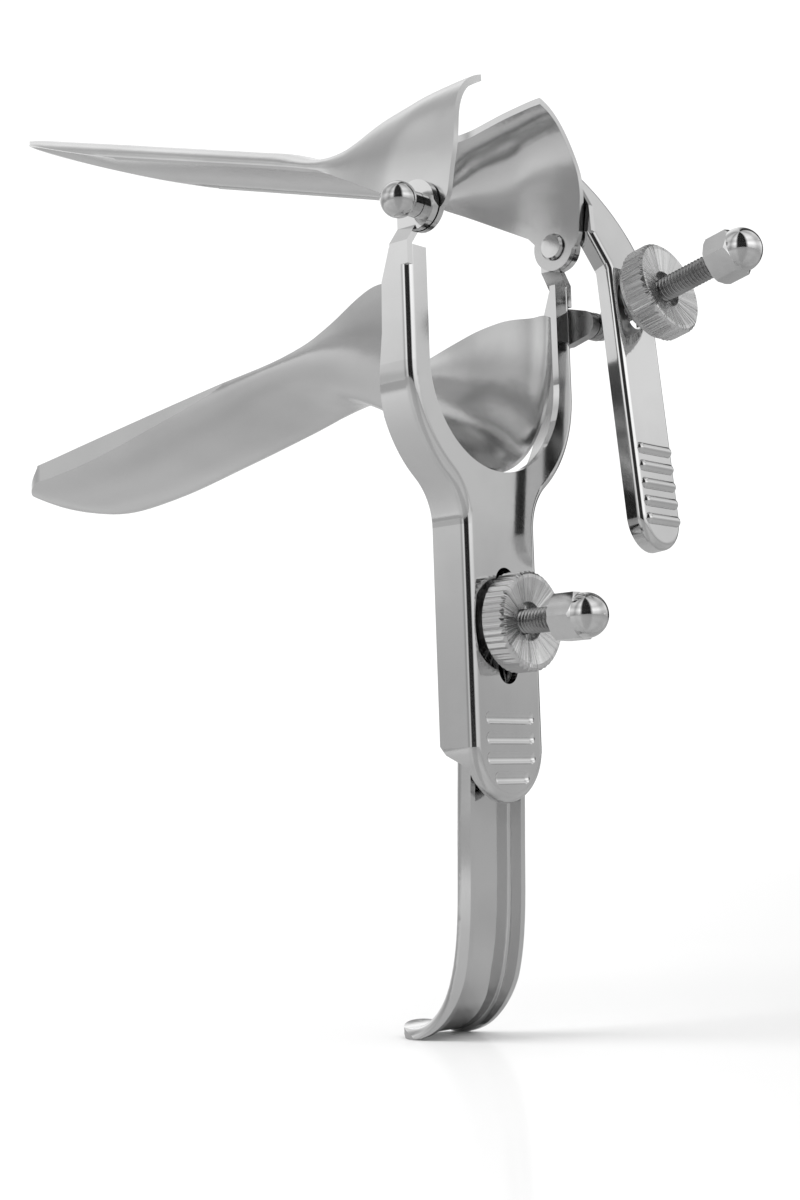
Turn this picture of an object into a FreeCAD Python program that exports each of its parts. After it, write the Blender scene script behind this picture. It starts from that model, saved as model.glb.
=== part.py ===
import FreeCAD, Part
import math
import os

# A self-retaining bivalve speculum in pressed and polished steel, in millimetres.
# X is the operator's right, Y points along the blades, Z is up.
# The pieces are laid out from the height screw's axis on the front of the sliding frame's web,
# and each one is lowered by datum_height so the origin is the flat web above the slot.

os.makedirs("parts", exist_ok=True)
doc = FreeCAD.newDocument("Speculum")
V = FreeCAD.Vector
X_AXIS = V(1, 0, 0)
Y_AXIS = V(0, 1, 0)
Z_AXIS = V(0, 0, 1)
ORIGIN = V(0, 0, 0)

# Driving dimensions
SIZES = {
    "datum_height": 20.5,
    "running_fit": 0.08,
    "seat_gap": 0.1,
    "head_gap": 0.25,
    "side_gap": 0.3,
    "blade_sheet": 1.3,
    "frame_sheet": 1.5,
    "frame_depth": 9.0,
    "frame_bend": 2.0,
    "shank_half": 11.1,
    "shank_low_centre": -24.4,
    "shank_fillet": 12.0,
    "arch_radius": 26.3,
    "arch_centre": 49.8,
    "arm_top": 72.5,
    "window_radius": 20.7,
    "window_centre": 51.2,
    "slot_width": 6.0,
    "slot_low": -12.0,
    "slot_high": 11.2,
    "seat_low": 14.5,
    "groove_first": -18.7,
    "groove_pitch": 3.93,
    "groove_radius": 1.7,
    "groove_depth": 0.55,
    "groove_half": 6.4,
    "ear_inner": 22.2,
    "ear_radius": 4.9,
    "ear_neck_depth": 4.6,
    "pivot_height": 80.5,
    "pivot_shaft": 2.0,
    "pivot_head": 2.8,
    "pivot_head_thick": 0.8,
    "ball_radius": 3.6,
    "ball_centre": 28.4,
    "ball_neck": 2.5,
    "upper_half": 21.9,
    "upper_tilt": 15.9,
    "upper_trough_half": 17.5,
    "upper_length": 145.0,
    "upper_round": 16.0,
    "notch_half": 9.5,
    "notch_depth": 27.0,
    "lobe_radius": 5.0,
    "lower_rim_y": 3.0,
    "lower_tip_y": 136.0,
    "lower_round": 12.5,
    "lower_rim_half": 22.3,
    "lower_trough_half": 17.9,
    "handle_half": 8.6,
    "handle_sheet": 1.4,
    "handle_depth": 4.5,
    "handle_bend": 2.2,
    "screw_radius": 2.5,
    "height_shoulder_radius": 4.0,
    "height_shoulder_start": 1.9,
    "height_web": 7.1,
    "height_head_thick": 1.2,
    "height_cap_seat": 13.4,
    "thread_in_cap": 6.0,
    "cap_flats": 9.0,
    "cap_hex_height": 5.8,
    "cap_length": 10.5,
    "cap_bore_depth": 6.6,
    "thumb_radius": 10.0,
    "thumb_rim": 5.4,
    "thumb_boss": 2.0,
    "thumb_dish": 0.9,
    "thumb_recess_radius": 3.9,
    "thumb_recess_depth": 1.6,
    "knurl_depth": 0.45,
    "knurl_count": 44,
    "washer_radius": 5.8,
    "washer_thick": 1.1,
    "pin_y": -2.6,
    "pin_height": 64.5,
    "pin_radius": 1.75,
    "pin_head": 2.6,
    "pin_head_thick": 1.2,
    "lug_thick": 2.4,
    "lug_nose": 2.8,
    "lug_half": 4.0,
    "eye_radius": 2.9,
    "eye_width": 2.6,
    "eye_gap": 0.5,
    "screw_lift": 13.7,
    "screw_reach": 31.7,
    "lever_left_half": 6.5,
    "lever_right_half": 7.5,
    "lever_sheet": 1.4,
    "lever_depth": 4.0,
    "lever_bend": 1.5,
    "lever_lean": 5.5,
    "lever_face_y": -13.0,
    "lever_hole_height": 66.5,
    "lever_down": 51.5,
    "lever_up": 33.0,
    "lever_kink_height": 8.0,
    "lever_kink": 17.0,
    "lever_tab_gap": 0.05,
    "lever_slot_width": 5.6,
    "lever_slot_length": 9.0,
    "rib_first": 30.5,
    "rib_pitch": 3.7,
    "rib_radius": 1.3,
    "rib_rise": 0.9,
}

sheet = doc.addObject("Spreadsheet::Sheet", "Sizes")
for row, (alias, value) in enumerate(SIZES.items(), start=1):
    sheet.set("A%d" % row, alias.replace("_", " "))
    sheet.set("B%d" % row, str(value))
    sheet.setAlias("B%d" % row, alias)
doc.recompute()


def size(alias):
    """One driving dimension, read from the sheet."""
    return float(sheet.get(alias))


def lowered():
    """Placement that lays a piece in the object's frame."""
    return FreeCAD.Placement(V(0, 0, -size("datum_height")), FreeCAD.Rotation())


def feature(label, shape):
    """A free-form piece made of Part shapes, laid in the object's frame."""
    placement = lowered().multiply(shape.Placement)
    piece = doc.addObject("Part::Feature", label)
    piece.Label = label
    piece.Shape = shape
    piece.Placement = placement
    return piece


def smooth(table, at):
    """Value at one station of a smooth monotone curve through a table of stations."""
    if at <= table[0][0]:
        return table[0][1]
    if at >= table[-1][0]:
        return table[-1][1]
    count = len(table)
    steps = [table[i + 1][0] - table[i][0] for i in range(count - 1)]
    slopes = [(table[i + 1][1] - table[i][1]) / steps[i] for i in range(count - 1)]
    tangents = [slopes[0]]
    for i in range(1, count - 1):
        if slopes[i - 1] * slopes[i] <= 0:
            tangents.append(0.0)
        else:
            tangents.append(2 * slopes[i - 1] * slopes[i] / (slopes[i - 1] + slopes[i]))
    tangents.append(slopes[-1])
    i = 0
    while at > table[i + 1][0]:
        i += 1
    t = (at - table[i][0]) / steps[i]
    return (
        (2 * t**3 - 3 * t**2 + 1) * table[i][1]
        + (t**3 - 2 * t**2 + t) * steps[i] * tangents[i]
        + (3 * t**2 - 2 * t**3) * table[i + 1][1]
        + (t**3 - t**2) * steps[i] * tangents[i + 1]
    )


def arch(half, foot, crown, power, count):
    """Evenly spaced points (x, z) over a super-elliptic arch from its left foot to its right foot."""
    fine = 600
    raw = []
    for i in range(fine + 1):
        angle = math.pi * i / fine
        c = math.cos(angle)
        s = max(math.sin(angle), 0.0)
        x = -half * math.copysign(abs(c) ** (2 / power), c)
        z = foot + (crown - foot) * s ** (2 / power)
        raw.append((x, z))
    length = [0.0]
    for a, b in zip(raw, raw[1:]):
        length.append(length[-1] + math.hypot(b[0] - a[0], b[1] - a[1]))
    points = []
    i = 0
    for k in range(count):
        goal = length[-1] * k / (count - 1)
        while i < fine - 1 and length[i + 1] < goal:
            i += 1
        t = (goal - length[i]) / (length[i + 1] - length[i])
        points.append((raw[i][0] + t * (raw[i + 1][0] - raw[i][0]), raw[i][1] + t * (raw[i + 1][1] - raw[i][1])))
    return points


def blade_grid(stations, half, foot, crown, power, columns=29):
    """Rows of points over a blade's outer side, one arch at each station along Y."""
    rows = []
    for y in stations:
        points = arch(smooth(half, y), smooth(foot, y), smooth(crown, y), smooth(power, y), columns)
        rows.append([V(x, y, z) for x, z in points])
    return rows


def inset(rows, thickness):
    """The same grid moved by the sheet's thickness along the surface normals."""
    last_row = len(rows) - 1
    last_column = len(rows[0]) - 1
    moved = []
    for i, row in enumerate(rows):
        line = []
        for j, point in enumerate(row):
            along = rows[min(i + 1, last_row)][j] - rows[max(i - 1, 0)][j]
            across = row[min(j + 1, last_column)] - row[max(j - 1, 0)]
            normal = along.cross(across)
            normal.normalize()
            line.append(point + normal * thickness)
        moved.append(line)
    return moved


def surface(rows):
    """Smooth surface through a grid of points."""
    made = Part.BSplineSurface()
    made.interpolate(rows)
    return made


def pressed(rows, thickness):
    """Solid sheet between a grid's surface and its inset, closed by ruled rims."""
    outer = surface(rows)
    inner = surface(inset(rows, thickness))
    faces = [outer.toShape(), inner.toShape()]
    first_u, last_u, first_v, last_v = outer.bounds()
    inner_first_u, inner_last_u, inner_first_v, inner_last_v = inner.bounds()
    for a, b in ((first_u, inner_first_u), (last_u, inner_last_u)):
        faces.append(Part.makeRuledSurface(outer.uIso(a).toShape(), inner.uIso(b).toShape()))
    for a, b in ((first_v, inner_first_v), (last_v, inner_last_v)):
        faces.append(Part.makeRuledSurface(outer.vIso(a).toShape(), inner.vIso(b).toShape()))
    sewn = Part.Compound(faces)
    sewn.sewShape()
    solid = Part.Solid(sewn.Shells[0])
    if solid.Volume < 0:
        solid.reverse()
    return solid


def stations_between(start, end, count):
    """Evenly spaced stations."""
    return [start + (end - start) * i / (count - 1) for i in range(count)]


def outline_yz(points, x_low, x_high):
    """Prism along X over a straight-sided outline of (y, z) points."""
    corners = [V(x_low, y, z) for y, z in points]
    face = Part.Face(Part.makePolygon(corners + [corners[0]]))
    return face.extrude(V(x_high - x_low, 0, 0))


def curved_outline_yz(curve_points, corners, x_low, x_high):
    """Prism along X over an outline of one smooth curve through (y, z) points, closed by straight sides."""
    curve = Part.BSplineCurve()
    curve.interpolate([V(x_low, y, z) for y, z in curve_points])
    sides = Part.makePolygon([V(x_low, y, z) for y, z in [curve_points[-1]] + corners + [curve_points[0]]])
    return Part.Face(Part.Wire([curve.toShape()] + sides.Edges)).extrude(V(x_high - x_low, 0, 0))


def outline_xz(points, y_low, y_high):
    """Prism along Y over a straight-sided outline of (x, z) points."""
    corners = [V(x, y_low, z) for x, z in points]
    face = Part.Face(Part.makePolygon(corners + [corners[0]]))
    return face.extrude(V(0, y_high - y_low, 0))


def plan_with_round_end(half, y_start, y_end, round_length, power, z_low, z_high):
    """Prism along Z over a blade's plan, with a broad rounded end."""
    steps = 24
    arc = []
    for i in range(steps + 1):
        angle = math.pi * i / steps
        c = math.cos(angle)
        x = half * math.copysign(abs(c) ** (2 / power), c)
        y = y_end - round_length + round_length * max(math.sin(angle), 0.0) ** (2 / power)
        arc.append(V(x, y, z_low))
    curve = Part.BSplineCurve()
    curve.interpolate(arc)
    sides = Part.makePolygon([arc[-1], V(-half, y_start, z_low), V(half, y_start, z_low), arc[0]])
    wire = Part.Wire([curve.toShape()] + sides.Edges)
    return Part.Face(wire).extrude(V(0, 0, z_high - z_low))


def rod(radius, start, direction, length):
    """Cylinder from a start point along a direction."""
    return Part.makeCylinder(radius, length, start, direction)


def turned(profile, start, direction):
    """Solid turned from a profile of (radius, distance) points about an axis."""
    corners = [V(r, 0, z) for r, z in profile]
    face = Part.Face(Part.makePolygon(corners + [corners[0]]))
    solid = face.revolve(ORIGIN, Z_AXIS, 360)
    solid.Placement = FreeCAD.Placement(start, FreeCAD.Rotation(Z_AXIS, direction))
    return solid


def edges_in_plane_y(shape, y):
    """Edges that lie in one plane across Y."""
    return [e for e in shape.Edges if abs(e.BoundBox.YMin - y) < 1e-4 and abs(e.BoundBox.YMax - y) < 1e-4]


pivot = V(0, 0, size("pivot_height"))

# Upper blade: an inverted trough that rises into a notched flare with two ears
upper_stations = stations_between(-9.0, size("upper_length") + 2, 40)
upper_half_table = [
    (-9, size("upper_half")),
    (8, size("upper_half")),
    (16, 20.9),
    (24, 19.1),
    (32, 17.9),
    (42, size("upper_trough_half")),
    (147, size("upper_trough_half")),
]
upper_foot_table = [(-9, -9), (3, -8.6), (10, -4), (18, 1), (26, 4.6), (34, 6.5), (44, 6.9), (130, 6.9), (147, 7.2)]
upper_crown_table = [
    (-9, 31.8),
    (2, 29.3),
    (8, 27.0),
    (15, 23.9),
    (22, 20.4),
    (28, 15.6),
    (34, 11.6),
    (40, 10.4),
    (52, 11.6),
    (136, 11.8),
    (147, 9.6),
]
upper_power_table = [(-9, 3.4), (8, 3.2), (20, 2.8), (34, 2.5), (60, 2.3), (147, 2.3)]
upper_rows = blade_grid(upper_stations, upper_half_table, upper_foot_table, upper_crown_table, upper_power_table)
upper_shape = pressed(upper_rows, size("blade_sheet"))
lobe = size("lobe_radius")
rear_edge = [
    (-4.9, 0),
    (-5.9, 1.5),
    (-5.8, 6),
    (-5.1, 11),
    (-3.9, 15.5),
    (-2.3, 19),
    (-0.7, 22.5),
    (0.7, 26),
    (1.9, 30),
    (3.4, 40),
]
blade_side = [
    (160, 40),
    (160, -5),
    (48, -5),
    (36, 6.2),
    (30, 5.6),
    (23, 4.4),
    (14, 2.6),
    (7.0, 1.2),
    (4.9, 0),
]
span = size("upper_half") + 5
side_keep = curved_outline_yz(rear_edge, blade_side, -span, span)
side_keep = side_keep.fuse(rod(lobe, V(-span, 0, 0), X_AXIS, 2 * span))
upper_shape = upper_shape.common(side_keep)
under_tip = [(102, 6.7), (112, 7.15), (122, 7.7), (131, 8.35), (138, 8.9), (150, 9.3)]
upper_shape = upper_shape.cut(curved_outline_yz(under_tip, [(150, -5), (102, -5)], -span, span))
upper_plan = plan_with_round_end(
    size("upper_trough_half") + 0.05, 50, size("upper_length"), size("upper_round"), 2.0, -20, 45
)
upper_plan = upper_plan.fuse(Part.makeBox(2 * span, 80, 65, V(-span, -20, -20)))
upper_shape = upper_shape.common(upper_plan)
notch_half = size("notch_half")
notch = Part.makeBox(2 * notch_half, size("notch_depth") + 12 - notch_half, 60, V(-notch_half, -12, 8))
notch_end = Part.makeCylinder(notch_half, 60, V(0, size("notch_depth") - notch_half, 8), Z_AXIS)
upper_shape = upper_shape.cut(notch.fuse(notch_end))
pivot_hole = size("pivot_shaft") + size("running_fit")
upper_shape = upper_shape.cut(rod(pivot_hole, V(-span, 0, 0), X_AXIS, 2 * span))
tilt = FreeCAD.Rotation(X_AXIS, size("upper_tilt"))
upper_shape.Placement = FreeCAD.Placement(pivot, tilt)

# Thumb lever: a ribbed pan on the operator's right, kinked forward at the top, with a tab on the blade's side
eye_x = size("arch_radius") + size("lug_thick") + size("eye_gap") + size("eye_width") / 2
left = eye_x - size("lever_left_half")
right = eye_x + size("lever_right_half")
tab_left = size("upper_half") + size("lever_tab_gap")
middle = (left + right) / 2
bottom_radius = (right - left) / 2
down = -size("lever_down")
up = size("lever_up")
kink_height = size("lever_kink_height")


def pan(edges, open_top):
    """Shallow pan with a rounded front edge, hollowed from behind; open_top leaves its highest side open."""
    face = Part.Face(Part.Wire(edges))
    depth = size("lever_depth")
    block = face.extrude(V(0, depth, 0))
    top = block.BoundBox.ZMax if open_top else block.BoundBox.ZMin
    level_top = [e for e in block.Edges if abs(e.BoundBox.ZMin - top) + abs(e.BoundBox.ZMax - top) < 0.01]
    front = [e for e in edges_in_plane_y(block, 0) if not any(e.isSame(other) for other in level_top)]
    block = block.makeFillet(size("lever_bend"), front)
    hollow = face.makeOffset2D(-size("lever_sheet")).extrude(V(0, depth, 0))
    hollow.translate(V(0, size("lever_sheet"), 0))
    reach = 2 * size("lever_sheet")
    slide = V(0, 0, reach if open_top else -reach)
    longer = hollow.copy()
    longer.translate(slide)
    return block.cut(hollow.fuse(longer))


corner_low = V(left, 0, down + bottom_radius)
corner_right = V(right, 0, down + bottom_radius)
overlap = 4.0
lower_end = kink_height + overlap
upper_start = kink_height - overlap
lower_edges = [
    Part.Arc(corner_low, V(middle, 0, down), corner_right).toShape(),
    Part.makeLine(corner_right, V(right, 0, lower_end)),
    Part.makeLine(V(right, 0, lower_end), V(left, 0, lower_end)),
    Part.makeLine(V(left, 0, lower_end), corner_low),
]
shoulder_start = V(right, 0, kink_height + 1.5)
upper_edges = [
    Part.makeLine(V(left, 0, upper_start), V(right, 0, upper_start)),
    Part.makeLine(V(right, 0, upper_start), shoulder_start),
    Part.Arc(shoulder_start, V(right - 2.6, 0, kink_height + 14.5), V(right - 11.5, 0, up)).toShape(),
    Part.makeLine(V(right - 11.5, 0, up), V(tab_left, 0, up)),
    Part.makeLine(V(tab_left, 0, up), V(tab_left, 0, up - 14)),
    Part.makeLine(V(tab_left, 0, up - 14), V(left, 0, kink_height + 1.5)),
    Part.makeLine(V(left, 0, kink_height + 1.5), V(left, 0, upper_start)),
]
kink_point = V(0, 0, kink_height)
above_miter = Part.makeBox(100, 80, 60, V(left - 40, -40, kink_height))
above_miter.rotate(kink_point, X_AXIS, -size("lever_kink") / 2)
upper_pan = pan(upper_edges, False)
upper_pan.rotate(kink_point, X_AXIS, -size("lever_kink"))
lever_shape = pan(lower_edges, True).cut(above_miter).fuse(upper_pan.common(above_miter))
half_slot = size("lever_slot_width") / 2
slot_reach = size("lever_slot_length") / 2 - half_slot
slot = Part.makeBox(2 * half_slot, 12, 2 * slot_reach, V(eye_x - half_slot, -4, -slot_reach))
for end in (-slot_reach, slot_reach):
    slot = slot.fuse(rod(half_slot, V(eye_x, -4, end), Y_AXIS, 12))
lever_shape = lever_shape.cut(slot)
rib_radius = size("rib_radius")
rib_inset = 2.3
for number in range(5):
    height = -size("rib_first") - number * size("rib_pitch")
    rib_start = V(left + rib_inset, rib_radius - size("rib_rise"), height)
    rib_length = right - left - 2 * rib_inset
    rib_end = rib_start + X_AXIS * rib_length
    rib = rod(rib_radius, rib_start, X_AXIS, rib_length)
    rib = rib.fuse([Part.makeSphere(rib_radius, rib_start), Part.makeSphere(rib_radius, rib_end)])
    keep = Part.makeBox(40, 1.2 + size("rib_rise"), 80, V(left - 10, -size("rib_rise"), down - 10))
    lever_shape = lever_shape.fuse(rib.common(keep))
lever_hole = V(0, size("lever_face_y"), size("lever_hole_height"))
lever_shape.Placement = FreeCAD.Placement(lever_hole, FreeCAD.Rotation(X_AXIS, -size("lever_lean")))
tab_outline = [
    (-9.0, 82.5),
    (-7.2, 82.5),
    (-4.8, 84.8),
    (-2.2, 87.0),
    (-1.8, 92.0),
    (-2.6, 94.2),
    (-5.0, 94.6),
    (-8.6, 88.0),
]
tab = outline_yz(tab_outline, tab_left, tab_left + size("lever_sheet"))
lever_shape = lever_shape.fuse(tab)
feature("upper_blade", upper_shape)
feature("thumb_lever", lever_shape.removeSplitter())

# Lower blade: a trough whose mouth opens into a U-shaped flare
lower_stations = stations_between(size("lower_rim_y"), size("lower_tip_y") + 3, 40)
lower_half_table = [
    (3, size("lower_rim_half")),
    (9, 21.5),
    (15, 20.0),
    (21, 18.5),
    (28, 17.2),
    (36, 16.5),
    (45, 16.3),
    (62, 16.7),
    (85, 17.3),
    (110, size("lower_trough_half")),
    (138, size("lower_trough_half")),
]
lower_edge_table = [
    (3, 66.3),
    (8, 67.0),
    (13, 67.1),
    (19, 66.0),
    (27, 63.3),
    (36, 60.4),
    (44, 58.8),
    (62, 56.3),
    (84, 53.1),
    (108, 49.5),
    (125, 47.0),
    (138, 45.6),
]
lower_belly_table = [
    (3, 31.8),
    (8, 36.2),
    (15, 41.0),
    (23, 45.6),
    (31, 49.6),
    (38, 51.9),
    (45, 52.4),
    (52, 51.3),
    (63, 48.3),
    (84, 43.6),
    (108, 39.2),
    (120, 38.2),
    (128, 39.4),
    (133, 41.6),
    (138, 44.4),
]
lower_power_table = [(3, 2.2), (20, 2.3), (45, 2.2), (80, 2.1), (138, 2.1)]
lower_rows = blade_grid(lower_stations, lower_half_table, lower_edge_table, lower_belly_table, lower_power_table)
lower_shape = pressed(lower_rows, size("blade_sheet"))
lower_plan = plan_with_round_end(
    size("lower_trough_half") + 0.05, 50, size("lower_tip_y"), size("lower_round"), 2.0, 0, 100
)
lower_plan = lower_plan.fuse(Part.makeBox(2 * span, 80, 100, V(-span, -20, 0)))
lower_shape = lower_shape.common(lower_plan)
tip_corner = [(-15, 48.6), (-10, 47.4), (-6.5, 46.1), (-4, 44.9), (-2, 43.5), (-0.4, 41.8), (2, 38)]
tip_corner = [(size("lower_tip_y") + y, z) for y, z in tip_corner]
tip_beyond = [(size("lower_tip_y") + y, z) for y, z in ((10, 38), (10, 60), (-15, 60))]
lower_shape = lower_shape.cut(curved_outline_yz(tip_corner, tip_beyond, -span, span))
feature("lower_blade", lower_shape)

# Lower handle: a channel open to the operator, curled forward at its foot and fitted under the flare
handle_path_points = [
    (16.5, 44.0),
    (12.6, 35.0),
    (9.6, 24.0),
    (7.6, 12.0),
    (7.1, 0.0),
    (7.6, -20.0),
    (8.5, -38.0),
    (9.0, -50.0),
    (9.7, -60.0),
    (11.4, -68.5),
    (14.8, -75.2),
    (20.2, -78.9),
    (27.5, -78.4),
]
handle_foot_points = [
    (4.6, -58.0),
    (6.0, -66.0),
    (7.6, -71.0),
    (10.6, -75.7),
    (15.0, -79.5),
    (21.0, -81.4),
    (28.0, -80.3),
    (32.0, -78.6),
]
handle_path = Part.BSplineCurve()
handle_path.interpolate([V(0, y, z) for y, z in handle_path_points])
path_wire = Part.Wire([handle_path.toShape()])
tangent = handle_path.tangent(handle_path.FirstParameter)[0]
inward = V(0, tangent.z, -tangent.y)
if inward.y > 0:
    inward = -inward
top_point = V(0, handle_path_points[0][0], handle_path_points[0][1])
half = size("handle_half")
thin = size("handle_sheet")
deep = size("handle_depth")
bend = size("handle_bend")


def channel_wire(across, depth, radius, start, inner):
    """Closed outline of a round-cornered block seen along the handle's path."""
    bend_step = radius * (1 - math.sqrt(0.5))

    def at(x, d):
        return start + X_AXIS * x + inner * d

    return Part.Wire(
        [
            Part.makeLine(at(-across, depth), at(-across, radius)),
            Part.Arc(at(-across, radius), at(-across + bend_step, bend_step), at(-across + radius, 0)).toShape(),
            Part.makeLine(at(-across + radius, 0), at(across - radius, 0)),
            Part.Arc(at(across - radius, 0), at(across - bend_step, bend_step), at(across, radius)).toShape(),
            Part.makeLine(at(across, radius), at(across, depth)),
            Part.makeLine(at(across, depth), at(-across, depth)),
        ]
    )


outer_section = channel_wire(half, deep, bend, top_point, inward)
inner_section = channel_wire(half - thin, deep + 3, bend - thin, top_point + inward * thin, inward)
handle_outer = path_wire.makePipeShell([outer_section], True, False)
handle_inner = path_wire.makePipeShell([inner_section], True, False)
handle_shape = handle_outer.cut(handle_inner)
blade_above = lower_shape.copy()
blade_above.translate(V(0, size("seat_gap"), -size("seat_gap")))
handle_shape = handle_shape.cut(blade_above)
handle_shape = sorted(handle_shape.Solids, key=lambda solid: solid.BoundBox.ZMin)[0]
handle_shape = handle_shape.cut(Part.makeBox(60, 30, 60, V(-30, -28 + 2.9, 20)))
foot_cutter = curved_outline_yz(handle_foot_points, [(32, -120), (-20, -120), (-20, -60)], -30, 30)
handle_shape = handle_shape.cut(foot_cutter)
foot_round = plan_with_round_end(half + 0.2, -20, 27.4, 9.0, 2.2, -100, 60)
handle_shape = handle_shape.common(foot_round)
screw_hole = rod(size("screw_radius") + 0.02, V(0, -5, 0), Y_AXIS, 20)
handle_shape = handle_shape.cut(screw_hole)
feature("lower_handle", handle_shape)

# Height screw: headed behind the handle, shouldered in the channel, threaded towards the operator
web = size("height_web")
screw_radius = size("screw_radius")
head_thick = size("height_head_thick")
cap_seat = size("height_cap_seat")
height_end = cap_seat + size("thread_in_cap")
shoulder_end = web - thin - size("seat_gap")
height_profile = [
    (0, -web - head_thick - 0.1),
    (3.2, -web - head_thick - 0.1),
    (4.0, -web - 0.6),
    (4.0, -web - 0.1),
    (screw_radius, -web - 0.1),
    (screw_radius, -shoulder_end),
    (size("height_shoulder_radius"), -shoulder_end),
    (size("height_shoulder_radius"), -size("height_shoulder_start")),
    (screw_radius, -size("height_shoulder_start")),
    (screw_radius, height_end - 0.6),
    (screw_radius - 0.6, height_end),
    (0, height_end),
]
feature("height_screw", turned(height_profile, ORIGIN, -Y_AXIS))


def cap_nut(start, direction):
    """Domed hexagon nut with a blind bore, standing on its open face."""
    flats = size("cap_flats")
    tall = size("cap_hex_height")
    corner = flats / math.sqrt(3)
    turns = [math.radians(60 * i) for i in range(7)]
    points = [V(corner * math.cos(turn), corner * math.sin(turn), 0) for turn in turns]
    block = Part.Face(Part.makePolygon(points)).extrude(V(0, 0, tall))
    bevels = [(0, 0), (corner - 0.5, 0), (corner, 0.5), (corner, tall - 0.7), (4.2, tall), (0, tall)]
    trim = turned(bevels, ORIGIN, Z_AXIS)
    dome_radius = flats / 2
    dome_centre = V(0, 0, size("cap_length") - dome_radius)
    dome = Part.makeSphere(dome_radius, dome_centre)
    dome = dome.fuse(Part.makeCylinder(dome_radius, dome_centre.z, ORIGIN, Z_AXIS))
    made = block.common(trim).fuse(dome)
    made = made.cut(Part.makeCylinder(screw_radius + size("running_fit"), size("cap_bore_depth"), ORIGIN, Z_AXIS))
    made.Placement = FreeCAD.Placement(start, FreeCAD.Rotation(Z_AXIS, direction))
    return made


def thumb_nut(start, direction, boss):
    """Knurled thumb nut with a dished face, standing on the end of its boss."""
    rim = size("thumb_rim")
    wide = size("thumb_radius")
    bore = screw_radius + size("running_fit")
    recess = size("thumb_recess_radius")
    front = boss + rim
    dished = front - size("thumb_dish")
    profile = [(bore, 0)]
    if boss > 0:
        profile += [(6.4, 0), (7.8, 0.35), (8.8, 1.1), (9.2, boss)]
    else:
        profile += [(9.3, 0)]
    profile += [
        (wide, boss + 0.6),
        (wide, front - 0.7),
        (wide - 0.7, front),
        (wide - 1.4, front),
        (recess, dished),
        (recess, dished - size("thumb_recess_depth")),
        (bore, dished - size("thumb_recess_depth")),
    ]
    blank = turned(profile, ORIGIN, Z_AXIS)
    count = int(size("knurl_count"))
    teeth = []
    for i in range(2 * count + 1):
        radius = wide if i % 2 == 0 else wide - size("knurl_depth")
        angle = math.pi * i / count
        teeth.append(V(radius * math.cos(angle), radius * math.sin(angle), 0))
    knurl = Part.Face(Part.makePolygon(teeth)).extrude(V(0, 0, front))
    made = blank.common(knurl)
    made.Placement = FreeCAD.Placement(start, FreeCAD.Rotation(Z_AXIS, direction))
    return made


def washer(start, direction):
    """Flat ring around a screw."""
    thick = size("washer_thick")
    wide = size("washer_radius")
    bore = screw_radius + size("running_fit")
    profile = [(bore, 0), (wide - 0.2, 0), (wide, 0.2), (wide, thick - 0.2), (wide - 0.2, thick), (bore, thick)]
    return turned(profile, start, direction)


seat_gap = size("seat_gap")
feature("height_cap_nut", cap_nut(V(0, -cap_seat, 0), -Y_AXIS))
feature("height_washer", washer(V(0, -seat_gap, 0), -Y_AXIS))
height_nut_back = 2 * seat_gap + size("washer_thick")
feature("height_thumb_nut", thumb_nut(V(0, -height_nut_back, 0), -Y_AXIS, 0.0))

# Sliding frame: a pressed pan with a shank, a U-shaped mouth and two joggled ears
shank = size("shank_half")
low_centre = size("shank_low_centre")
arch_radius = size("arch_radius")
arch_centre = size("arch_centre")
fillet = size("shank_fillet")
arm_top = size("arm_top")
fillet_x = shank + fillet
fillet_z = arch_centre - math.sqrt((arch_radius + fillet) ** 2 - fillet_x**2)
meet_x = fillet_x * arch_radius / (arch_radius + fillet)
meet_z = arch_centre - (arch_centre - fillet_z) * arch_radius / (arch_radius + fillet)


def frame_outline(step, top):
    """Outline of the frame moved inwards by a step, closed by a straight line at the top."""
    side = shank - step
    big = arch_radius - step
    round_in = fillet + step
    scale = big / arch_radius
    near_x = meet_x * scale
    near_z = arch_centre - (arch_centre - meet_z) * scale
    turn = math.atan2(meet_z - fillet_z, meet_x - fillet_x)
    half_turn = (turn + math.pi) / 2
    fillet_middle = V(fillet_x + round_in * math.cos(half_turn), 0, fillet_z + round_in * math.sin(half_turn))
    arch_turn = math.atan2(near_z - arch_centre, near_x) / 2
    arch_middle = V(big * math.cos(arch_turn), 0, arch_centre + big * math.sin(arch_turn))

    def mirrored(point):
        return V(-point.x, 0, point.z)

    start = V(side, 0, low_centre)
    bend_start = V(side, 0, fillet_z)
    bend_end = V(near_x, 0, near_z)
    arm_start = V(big, 0, arch_centre)
    arm_end = V(big, 0, top)
    return Part.Wire(
        [
            Part.Arc(mirrored(start), V(0, 0, low_centre - side), start).toShape(),
            Part.makeLine(start, bend_start),
            Part.Arc(bend_start, fillet_middle, bend_end).toShape(),
            Part.Arc(bend_end, arch_middle, arm_start).toShape(),
            Part.makeLine(arm_start, arm_end),
            Part.makeLine(arm_end, mirrored(arm_end)),
            Part.makeLine(mirrored(arm_end), mirrored(arm_start)),
            Part.Arc(mirrored(arm_start), mirrored(arch_middle), mirrored(bend_end)).toShape(),
            Part.Arc(mirrored(bend_end), mirrored(fillet_middle), mirrored(bend_start)).toShape(),
            Part.makeLine(mirrored(bend_start), mirrored(start)),
        ]
    )


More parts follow.
